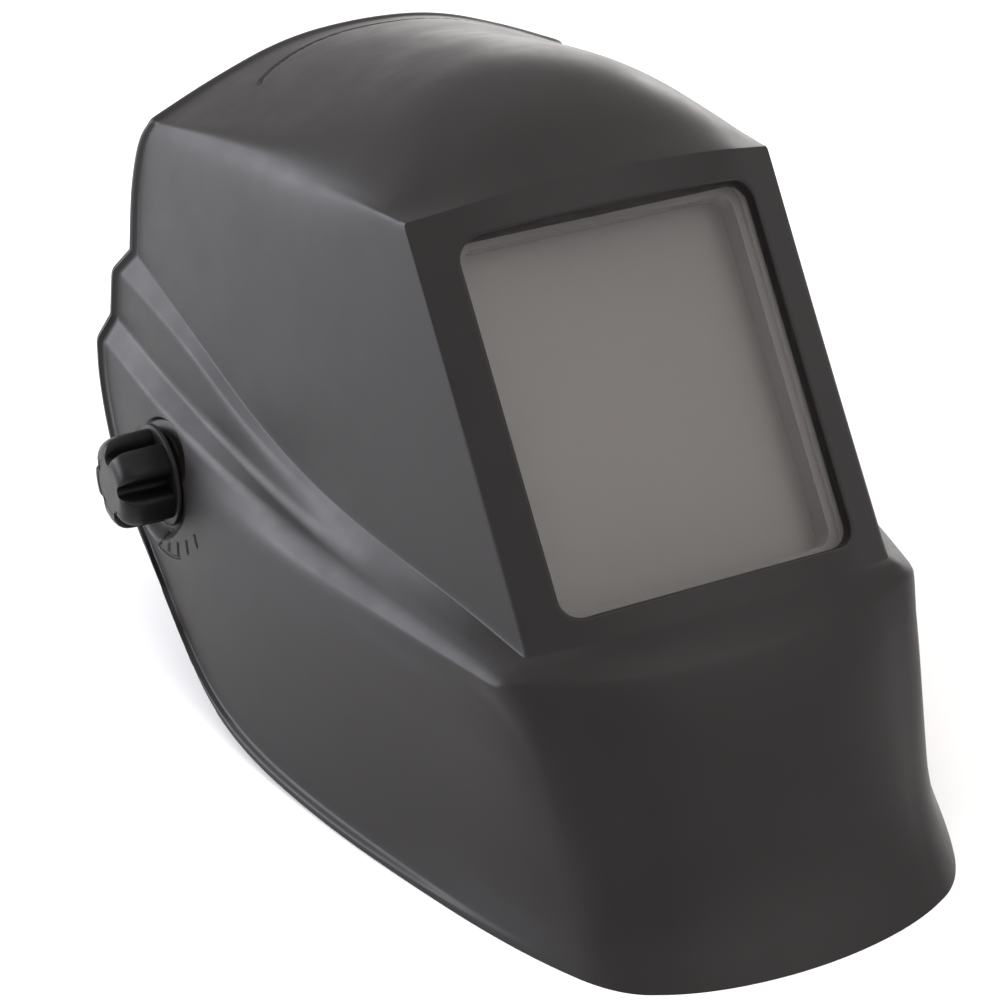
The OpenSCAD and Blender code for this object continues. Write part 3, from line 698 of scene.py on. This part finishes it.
def by_knob(c, n):
    """True on the outer side wall round a knob."""
    near = from_pivot(c) < PAD_BLEND + 3
    return near and abs(c.x) > SIDE_OVER * MM and n.x * c.x > 0 and abs(n.x) > .5


def on_wall(c, n):
    """True where the side wall is refined."""
    return by_knob(c, n) or on_scale(c, n)


def on_crown(c, n):
    """True on the outside of the crown."""
    return n.z > .5 and c.z > CROWN_OVER * MM


def on_groove(c, n):
    """True in the crown's groove."""
    return on_crown(c, n) and groove_depth(c.x / MM, c.y / MM - Y_SHIFT) > 0


def near_groove(c, n):
    """True in the crown's groove and just beside it."""
    x, y = c.x / MM, c.y / MM - Y_SHIFT
    boxed = abs(x) < GROOVE_BOX_X and GROOVE_BOX_Y[0] < y < GROOVE_BOX_Y[1]
    return on_crown(c, n) and boxed and any(
        groove_depth(x + ox, y + oy) > 0 for ox in (-2, 0, 2) for oy in (-3, -1.5, 0, 1.5, 3))


def refine(bm, wanted, cuts):
    """Splits the faces that are wanted into smaller ones."""
    faces = [f for f in bm.faces if wanted(f.calc_center_median(), f.normal)]
    edges = list({e for f in faces for e in f.edges})
    bmesh.ops.subdivide_edges(bm, edges=edges, cuts=cuts, use_grid_fill=True)


def flatten_pads(bm):
    """Brings the wall under each knob to one flat pad."""
    for v in [v for v in bm.verts if by_knob(v.co, v.normal)]:
        over = abs(v.co.x) / MM - PAD_X
        share = pad_share(from_pivot(v.co), PAD_BLEND if over > 0 else PAD_R + 1.6)
        v.co.x -= math.copysign(share * over * MM, v.co.x)


def press_marks(bm):
    """Presses in the dashes and the crown's groove."""
    moves = []
    for v in bm.verts:
        if on_scale(v.co, v.normal):
            deep = dash_depth(v.co.y / MM - Y_SHIFT, v.co.z / MM)
            normal = Vector((math.copysign(1, v.co.x), 0, 0))
        elif on_groove(v.co, v.normal):
            deep = groove_depth(v.co.x / MM, v.co.y / MM - Y_SHIFT)
            normal = v.normal.copy()
        else:
            continue
        if deep > 0:
            moves.append((v, normal, deep))
    for v, normal, deep in moves:
        v.co -= normal * deep * MM


def engrave(obj):
    """Refines the outer wall at the pads and marks, and shapes them."""
    bm = bmesh.new()
    bm.from_mesh(obj.data)
    refine(bm, on_wall, 7)
    refine(bm, near_groove, 3)
    bm.normal_update()
    flatten_pads(bm)
    press_marks(bm)
    for face in bm.faces:
        face.smooth = True
    bm.to_mesh(obj.data)
    bm.free()


shell = build_shell()
engrave(shell)
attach(shell, "shell_body")
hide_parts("shell")


# ------------------------------------------------------------------ materials
class Surface:
    """A node material with one Principled shader, built up from small helpers."""

    def __init__(self, name):
        self.material = bpy.data.materials.new(name)
        self.material.use_nodes = True
        self.tree = self.material.node_tree
        self.shader = self.tree.nodes["Principled BSDF"]
        self.coords = self.tree.nodes.new("ShaderNodeTexCoord").outputs["Object"]

    def node(self, kind, **props):
        """Adds a shader node and sets its properties."""
        made = self.tree.nodes.new(kind)
        for key, value in props.items():
            setattr(made, key, value)
        return made

    def link(self, a, b):
        """Joins an output to an input."""
        self.tree.links.new(a, b)

    def stretched(self, scale):
        """Object coordinates scaled along each axis."""
        mapping = self.node("ShaderNodeMapping")
        mapping.inputs["Scale"].default_value = scale
        self.link(self.coords, mapping.inputs["Vector"])
        return mapping.outputs["Vector"]

    def noise(self, scale, detail, rough=.5, vector=None):
        """Noise over the object's own coordinates, or over a vector."""
        made = self.node("ShaderNodeTexNoise")
        made.inputs["Scale"].default_value = scale
        made.inputs["Detail"].default_value = detail
        made.inputs["Roughness"].default_value = rough
        self.link(vector or self.coords, made.inputs["Vector"])
        return made.outputs["Fac"]

    def spread(self, source, lo, hi):
        """source mapped to lo..hi from the middle range that a noise mostly fills."""
        made = self.node("ShaderNodeMapRange")
        made.inputs["From Min"].default_value = .35
        made.inputs["From Max"].default_value = .65
        made.inputs["To Min"].default_value = lo
        made.inputs["To Max"].default_value = hi
        self.link(source, made.inputs["Value"])
        return made.outputs["Result"]

    def colours(self, source, stops):
        """source mapped over stops of (place, colour)."""
        ramp = self.node("ShaderNodeValToRGB")
        elements = ramp.color_ramp.elements
        elements[0].position, elements[0].color = stops[0][0], (*stops[0][1], 1)
        elements[1].position, elements[1].color = stops[-1][0], (*stops[-1][1], 1)
        for at, colour in stops[1:-1]:
            elements.new(at).color = (*colour, 1)
        self.link(source, ramp.inputs["Fac"])
        return ramp.outputs["Color"]

    def bump(self, heights):
        """Adds bumps from (source, strength, distance in metres), one over another."""
        normal = None
        for source, strength, distance in heights:
            made = self.node("ShaderNodeBump")
            made.inputs["Strength"].default_value = strength
            made.inputs["Distance"].default_value = distance
            self.link(source, made.inputs["Height"])
            if normal:
                self.link(normal, made.inputs["Normal"])
            normal = made.outputs["Normal"]
        self.link(normal, self.shader.inputs["Normal"])

    def set(self, **values):
        """Sets the shader's inputs by name, with _ for a space."""
        for key, value in values.items():
            self.shader.inputs[key.replace("_", " ")].default_value = value


def plastic(name, dark, light, rough, grain=1500, grain_bump=.10, orange=0, specular=.5):
    """Moulded plastic: slow colour drift, fine texture and uneven gloss."""
    s = Surface(name)
    drift = s.noise(14, 4)
    s.link(s.colours(drift, [(.3, dark), (.7, light)]), s.shader.inputs["Base Color"])
    gloss = s.noise(55, 5, .6)
    s.link(s.spread(gloss, rough[0], rough[1]), s.shader.inputs["Roughness"])
    heights = [(s.noise(grain, 2, .6), grain_bump, .0001)]
    if orange:
        heights.append((s.noise(160, 2), orange, .0003))
    s.bump(heights)
    s.set(Specular_IOR_Level=specular)
    return s.material


def metal(name, dark, light, rough, along):
    """Plated or machined metal with fine marks drawn out along one way."""
    s = Surface(name)
    s.link(s.colours(s.noise(60, 4), [(.3, dark), (.7, light)]), s.shader.inputs["Base Color"])
    marks = s.noise(900, 4, .7, s.stretched(along))
    s.link(s.spread(marks, rough[0], rough[1]), s.shader.inputs["Roughness"])
    s.bump([(marks, .12, .00008)])
    s.set(Metallic=1.0)
    return s.material


def woven(name, dark, light):
    """Plain woven cotton, from two crossed sets of threads."""
    s = Surface(name)
    threads = []
    for turn in ("X", "Z"):
        wave = s.node("ShaderNodeTexWave", wave_type="BANDS", bands_direction=turn, wave_profile="SIN")
        wave.inputs["Scale"].default_value = 260
        wave.inputs["Distortion"].default_value = .6
        wave.inputs["Detail"].default_value = 1
        s.link(s.coords, wave.inputs["Vector"])
        threads.append(wave.outputs["Fac"])
    weave = s.node("ShaderNodeMath", operation="MULTIPLY")
    s.link(threads[0], weave.inputs[0])
    s.link(threads[1], weave.inputs[1])
    wear = s.noise(30, 5, .6)
    both = s.node("ShaderNodeMath", operation="MULTIPLY_ADD")
    s.link(weave.outputs["Value"], both.inputs[0])
    both.inputs[1].default_value = .55
    s.link(wear, both.inputs[2])
    s.link(s.colours(both.outputs["Value"], [(.3, dark), (.95, light)]), s.shader.inputs["Base Color"])
    s.link(s.spread(wear, .78, .95), s.shader.inputs["Roughness"])
    s.bump([(weave.outputs["Value"], .5, .0004), (s.noise(420, 3), .3, .0003)])
    s.set(Sheen_Weight=.35, Sheen_Roughness=.5, Specular_IOR_Level=.2)
    return s.material


def lens_plate(name, dark, light, alpha, rough):
    """A clear or tinted plate with a faint drift of colour and handling marks; the grey given to the cover
    and filter is painted light.
    """
    s = Surface(name)
    # drifts the base colour between dark and light; on the cover and filter that colour is painted light
    plate_colour_drift = s.noise(7, 2)
    s.link(s.colours(plate_colour_drift, [(.35, dark), (.7, light)]), s.shader.inputs["Base Color"])
    marks = s.noise(16, 2)
    s.link(s.spread(marks, rough[0], rough[1]), s.shader.inputs["Roughness"])
    s.set(Alpha=alpha)
    s.material.surface_render_method = "DITHERED"
    return s.material


def floor_paper():
    """Seamless white paper, a little uneven."""
    s = Surface("floor_paper")
    tones = [(.3, (.93, .93, .935)), (.7, (.95, .95, .95))]
    s.link(s.colours(s.noise(3, 3), tones), s.shader.inputs["Base Color"])
    s.link(s.spread(s.noise(40, 3), .75, .9), s.shader.inputs["Roughness"])
    s.bump([(s.noise(600, 3), .05, .0002)])
    s.set(Specular_IOR_Level=.1)
    return s.material


SHELL_BLACK = plastic("shell_black", (.0095, .0083, .0082), (.0115, .0101, .0098), (.36, .44),
                      orange=.03, specular=.23)
KNOB_BLACK = plastic("knob_black", (.0025, .0025, .0028), (.0045, .0045, .0045), (.3, .42), 1800,
                     specular=.18)
BAND_BLACK = plastic("band_black", (.014, .014, .016), (.022, .022, .024), (.38, .52), 900, .14)
STRAP_BLACK = plastic("strap_black", (.016, .016, .018), (.026, .026, .028), (.42, .58), 1100, .16)
ARM_BLACK = plastic("arm_black", (.012, .012, .014), (.02, .02, .022), (.35, .5), 1300, .14)
FRAME_BLACK = plastic("frame_black", (.012, .012, .012), (.02, .019, .018), (.5, .65), 1300, .15)
STOP_GREY = plastic("stop_grey", (.09, .09, .095), (.13, .13, .135), (.4, .55), 1200, .12)
PINION_WHITE = plastic("pinion_white", (.62, .6, .54), (.74, .72, .66), (.35, .5), 1000, .08)
FIBRE = plastic("fibre_red", (.13, .045, .025), (.2, .075, .04), (.6, .8), 700, .3)
GASKET = plastic("gasket_grey", (.2, .19, .18), (.26, .245, .235), (.7, .85), 1600, .2)
SPACER = plastic("spacer_grey", (.165, .15, .147), (.18, .165, .162), (.5, .65), 1300, .12)
ZINC = metal("zinc_plate", (.42, .42, .43), (.6, .6, .6), (.25, .45), (1, 8, 8))
SPRING = metal("spring_steel", (.5, .5, .5), (.66, .66, .65), (.18, .35), (8, 1, 1))
BRASS = metal("turned_brass", (.55, .4, .16), (.7, .53, .26), (.2, .4), (1, 10, 10))
COTTON = woven("black_cotton", (.012, .012, .014), (.055, .055, .06))
# the cover's faint grey and the filter's grey-brown are painted light: they stand in for the studio light
# seen in the dark lens
COVER_CLEAR_PAINTED_LIGHT = lens_plate("cover_clear_painted_light", (.135, .127, .122), (.145, .137, .132), .1, (.12, .14))
INNER_CLEAR = lens_plate("inner_clear", (.3, .3, .3), (.4, .4, .4), .35, (.08, .2))
FILTER_PAINTED_LIGHT = lens_plate("filter_painted_light", (.142, .131, .127), (.154, .143, .138), 1, (.3, .36))


# ------------------------------------------------------------------ CAD nodes that stay
def finish_node(node, material, width):
    """Gives a CAD node its material, and eases its edges by width in millimetres."""
    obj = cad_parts[node]
    obj.data.materials.clear()
    obj.data.materials.append(material)
    bevel = obj.modifiers.new("ease", "BEVEL")
    bevel.width = width * MM
    bevel.segments = 2
    bevel.limit_method = "ANGLE"
    bevel.angle_limit = math.radians(40)
    bevel.harden_normals = False


shell.data.materials.append(SHELL_BLACK)
for node, material, width in (
    ("outer_cover_plate", COVER_CLEAR_PAINTED_LIGHT, .25), ("lens_gasket", GASKET, .3), ("lens_spacer", SPACER, .3),
    ("filter_plate", FILTER_PAINTED_LIGHT, .3), ("inner_cover_plate", INNER_CLEAR, .2),
    ("lens_retainer", FRAME_BLACK, .5), ("retainer_springs", SPRING, .12),
    ("headband_front", BAND_BLACK, .5), ("crown_bridge", STRAP_BLACK, .4),
    ("ratchet_housing", ARM_BLACK, 1.2), ("ratchet_cover", ARM_BLACK, .5),
    ("ratchet_pinion", PINION_WHITE, .15), ("headgear_rivets", ZINC, .3), ("housing_screws", ZINC, .3),
):
    finish_node(node, material, width)
for name, material, width in (
    ("rear_band", BAND_BLACK, .5), ("crown_strap", STRAP_BLACK, .4), ("side_arm", ARM_BLACK, .5),
    ("pivot_bolt", ZINC, .3), ("tilt_stop", STOP_GREY, .4), ("friction_washer", FIBRE, .2),
    ("tension_washer", ZINC, .2), ("knob_insert", BRASS, .2), ("rack_tail", BAND_BLACK, .15),
):
    for side in ("_left", "_right"):
        finish_node(name + side, material, width)


# ------------------------------------------------------------------ knobs
def chaikin(points, rounds):
    """Cuts the corners of a closed line, over and over, until it is round."""
    for _ in range(rounds):
        nxt = np.roll(points, -1, axis=0)
        points = np.stack([.75 * points + .25 * nxt, .25 * points + .75 * nxt], axis=1).reshape(-1, 2)
    return points


def polar(r, deg):
    """A point at radius r and angle deg."""
    return (r * math.cos(math.radians(deg)), r * math.sin(math.radians(deg)))


KNOB_LOBES = 5
KNOB_TURN = 21.0
KNOB_BASE = 104.5
KNOB_FACE = 125.1
KNOB_DROP = 6.2
KNOB_HUB_R = 11.0
GROOVE_FLOOR_R = 9.6
GROOVE_EDGE_R = 14.6
LOBE_R = 17.3
FLANGE_R = 18.5


def star_outline():
    """The knob's section: broad lobes with narrow rounded grooves between them."""
    step = 360 / KNOB_LOBES
    pts = []
    for k in range(KNOB_LOBES):
        g = KNOB_TURN + k * step
        pts += [polar(GROOVE_FLOOR_R, g - 10), polar(GROOVE_FLOOR_R, g + 10)]
        pts += [polar(GROOVE_EDGE_R, g + 11.5), polar(LOBE_R, g + 17), polar(LOBE_R, g + step / 2)]
        pts += [polar(LOBE_R, g + step - 17), polar(GROOVE_EDGE_R, g + step - 11.5)]
    return chaikin(np.array(pts), 3)


def build_knob(s):
    """A five-lobed clamp knob with a round flange, on one side of the shell."""
    outline = star_outline()
    radius = np.hypot(outline[:, 0], outline[:, 1])
    parts = Parts()

    def ring(points, x):
        return [(s * x, PIVOT[0] + Y_SHIFT + p[0], PIVOT[1] + p[1]) for p in points]

    loops = [ring(outline * .98, KNOB_BASE + 1.2), ring(outline, KNOB_BASE + 2.6)]
    loops.append(ring(outline * .985, KNOB_FACE - KNOB_DROP - 1))
    for deg in (0, 15, 30, 45, 60, 75, 90):
        a = math.radians(deg)
        want = np.minimum(radius, KNOB_HUB_R)
        r = radius * .98 - (radius * .98 - want * .97) * (1 - math.cos(a))
        loops.append(ring(outline * (r / radius)[:, None], KNOB_FACE - KNOB_DROP * (1 - math.sin(a))))
    r = np.minimum(radius, KNOB_HUB_R) * .97
    flat = outline * (r / radius)[:, None]
    for k, sunk in ((.96, 0), (.93, .25), (.5, .25), (.1, .25)):
        loops.append(ring(flat * k, KNOB_FACE - sunk))
    parts.loft(loops, cap=(True, True))
    # flange with eased edges, and its hollow for the washer
    rings = []
    for r, x in ((9.4, 1.4), (9.4, .1), (9.6, 0), (FLANGE_R - .5, 0), (FLANGE_R, .4), (FLANGE_R, 1.2),
                 (FLANGE_R - .25, 1.65), (FLANGE_R - .8, 1.9), (14, 2.1), (9, 2.1)):
        rings.append(ring([polar(r, 360 * k / 96) for k in range(96)], KNOB_BASE + x))
    parts.loft(rings)
    side = "left" if s > 0 else "right"
    knob = new_object("clamp_knob_" + side, parts.verts, parts.faces, sharp_deg=36)
    knob.data.materials.append(KNOB_BLACK)
    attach(knob, "knob_" + side)
    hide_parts("pivot_knob_" + side)


for s in (-1, 1):
    build_knob(s)


# ------------------------------------------------------------------ headgear frame
GEAR_TILT = math.radians(26)


def from_gear(x, y, z):
    """A point of the headgear's own frame, in the row's frame, in millimetres."""
    ca, sa = math.cos(GEAR_TILT), math.sin(GEAR_TILT)
    return (x, PIVOT[0] + Y_SHIFT + y * ca + z * sa, PIVOT[1] - y * sa + z * ca)


def build_ratchet_knob():
    """The size-setting wheel at the nape: twelve flutes and a domed face."""
    y0, radius, flutes = 95.4, 17.0, 12
    pts = []
    for k in range(flutes):
        g = 360 * k / flutes
        pts += [polar(radius - 2.1, g), polar(radius - 1.5, g + 6), polar(radius, g + 10)]
        pts += [polar(radius, g + 20), polar(radius - 1.5, g + 24)]
    outline = chaikin(np.array(pts), 2)
    parts = Parts()

    def ring(points, y):
        return [from_gear(p[0], y0 + y, p[1]) for p in points]

    loops = [ring(outline * .2, 0), ring(outline * .92, 0), ring(outline * .96, .5), ring(outline * .97, 2)]
    for y, k in ((3, 1), (9.5, 1), (10.8, .985), (11.8, .95), (12.4, .89), (12.7, .8), (12.5, .7),
                 (12.1, .62), (11.9, .5), (11.9, .25)):
        loops.append(ring(outline * k, y))
    parts.loft(loops, cap=(True, True))
    knob = new_object("ratchet_wheel", parts.verts, parts.faces, sharp_deg=40)
    knob.data.materials.append(KNOB_BLACK)
    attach(knob, "ratchet")
    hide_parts("ratchet_knob")


build_ratchet_knob()


# ------------------------------------------------------------------ soft goods
# frames of the cloth run, and the room left behind the sweatband before it swells
PAD_FRAMES = 18
PAD_GAP = .7


def cloth_puff(obj, pressure, cap, voxel):
    """Swells a closed pad with a short cloth run, and limits how far it may move."""
    view = bpy.context.view_layer
    view.objects.active = obj
    obj.select_set(True)
    remesh = obj.modifiers.new("even", "REMESH")
    remesh.mode = "VOXEL"
    remesh.voxel_size = voxel * MM
    bpy.ops.object.modifier_apply(modifier=remesh.name)
    start = np.array([v.co[:] for v in obj.data.vertices])
    cloth = obj.modifiers.new("cloth", "CLOTH")
    cloth.settings.use_pressure = True
    cloth.settings.uniform_pressure_force = pressure
    cloth.settings.effector_weights.gravity = 0
    cloth.settings.quality = 4
    cloth.settings.mass = .2
    cloth.point_cache.frame_start = 1
    cloth.point_cache.frame_end = PAD_FRAMES
    scene = bpy.context.scene
    for number in range(1, PAD_FRAMES + 1):
        scene.frame_set(number)
    shaped = obj.evaluated_get(bpy.context.evaluated_depsgraph_get()).to_mesh()
    end = np.array([v.co[:] for v in shaped.vertices])
    obj.modifiers.remove(cloth)
    scene.frame_set(1)
    moved = end - start
    size = np.linalg.norm(moved, axis=1, keepdims=True)
    moved *= np.minimum(1, cap * MM / np.maximum(size, 1e-9))
    for vertex, co in zip(obj.data.vertices, start + moved):
        vertex.co = co
    obj.select_set(False)


def add_subdivision(obj):
    """Smooths a pad by one level of subdivision."""
    smooth = obj.modifiers.new("smooth", "SUBSURF")
    smooth.levels = 1
    smooth.render_levels = 1
    for face in obj.data.polygons:
        face.use_smooth = True


def build_sweatband():
    """The brow pad: a stuffed cotton sleeve folded round the front of the headband."""
    centre, radius, deep, tall = -26.0, 79.0, 4.4, 30.0
    rings = []
    count = 56
    for k in range(count + 1):
        turn = math.radians(208 + 124 * k / count)
        end = min(k, count - k) / count
        swell = .55 + .45 * min(1, end / .06)
        pinch = 1 - .16 * (0.5 + 0.5 * math.cos(2 * math.pi * k / 8)) ** 6 if 2 < k < count - 2 else 1
        loop = []
        for deg in range(0, 360, 24):
            a = math.radians(deg)
            across = abs(math.cos(a)) ** .7 * math.copysign(1, math.cos(a))
            high = abs(math.sin(a)) ** .55 * math.copysign(1, math.sin(a))
            r = radius - PAD_GAP - deep / 2 * swell + across * deep / 2 * swell * pinch
            loop.append(from_gear(r * math.cos(turn), centre + r * math.sin(turn), high * tall / 2 * swell))
        rings.append(loop)
    parts = Parts()
    parts.loft(rings, cap=(True, True))
    pad = new_object("brow_pad", parts.verts, parts.faces)
    cloth_puff(pad, 3.0, 1.1, 2.2)
    add_subdivision(pad)
    pad.data.materials.append(COTTON)
    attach(pad, "headgear")
    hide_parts("sweatband")


def build_nape_pad():
    """The small rear pad, a stuffed cushion with a sewn edge."""
    wide, deep, tall, back = 46.0, 4.6, 32.0, 81.0
    rings = []
    count = 14
    for k in range(count + 1):
        f = 2 * k / count - 1
        swell = max(.35, (1 - abs(f) ** 5)) ** .5
        loop = []
        for deg in range(0, 360, 20):
            a = math.radians(deg)
            across = abs(math.cos(a)) ** .8 * math.copysign(1, math.cos(a))
            high = abs(math.sin(a)) ** .5 * math.copysign(1, math.sin(a))
            loop.append(from_gear(f * wide / 2, back - deep / 2 + across * deep / 2 * swell,
                                  high * tall / 2 * (.86 + .14 * swell)))
        rings.append(loop)
    parts = Parts()
    parts.loft(rings, cap=(True, True))
    pad = new_object("nape_cushion", parts.verts, parts.faces)
    cloth_puff(pad, 3.5, 1.3, 2.0)
    add_subdivision(pad)
    pad.data.materials.append(COTTON)
    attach(pad, "headgear")
    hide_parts("nape_pad")


build_sweatband()
build_nape_pad()


# ------------------------------------------------------------------ stage and light
WORLD_STRENGTH = .85
WORLD_COLOUR = (1, .98, .975)
# name, place in metres, size, power in watts, colour
LIGHTS = (
    ("top_softbox", (0.3, -0.2, 2.8), (6.0, 4.4), 60, (1, .97, .94)),
    ("left_softbox", (-1.95, 1.2, 0.7), (2.2, 1.2), 78, (.89, .905, 1)),
    ("front_card", (1.3, -2.25, 1.95), (2.6, 2.6), 20, (1, .97, .955)),
    ("back_wall", (2.6, 2.3, 0.55), (3.2, 1.1), 38, (1, .97, .95)),
)


def add_stage():
    """A wide white floor under soft studio lights."""
    floor = new_object("floor", [(-6000, -6000, 0), (6000, -6000, 0), (6000, 6000, 0), (-6000, 6000, 0)],
                       [[0, 1, 2, 3]])
    floor.data.materials.append(floor_paper())
    world = bpy.data.worlds.new("studio")
    world.use_nodes = True
    backdrop = world.node_tree.nodes["Background"]
    backdrop.inputs["Color"].default_value = (*WORLD_COLOUR, 1)
    backdrop.inputs["Strength"].default_value = WORLD_STRENGTH
    scene = bpy.context.scene
    scene.world = world
    scene.view_settings.view_transform = "Standard"
    for name, at, size, power, tint in LIGHTS:
        data = bpy.data.lights.new(name, "AREA")
        data.energy = power
        data.shape = "RECTANGLE"
        data.size, data.size_y = size
        data.color = tint
        light = bpy.data.objects.new(name, data)
        bpy.context.collection.objects.link(light)
        light.location = at
        aim = Vector((0, 0, 0.1)) - Vector(at)
        light.rotation_euler = aim.to_track_quat("-Z", "Y").to_euler()


add_stage()
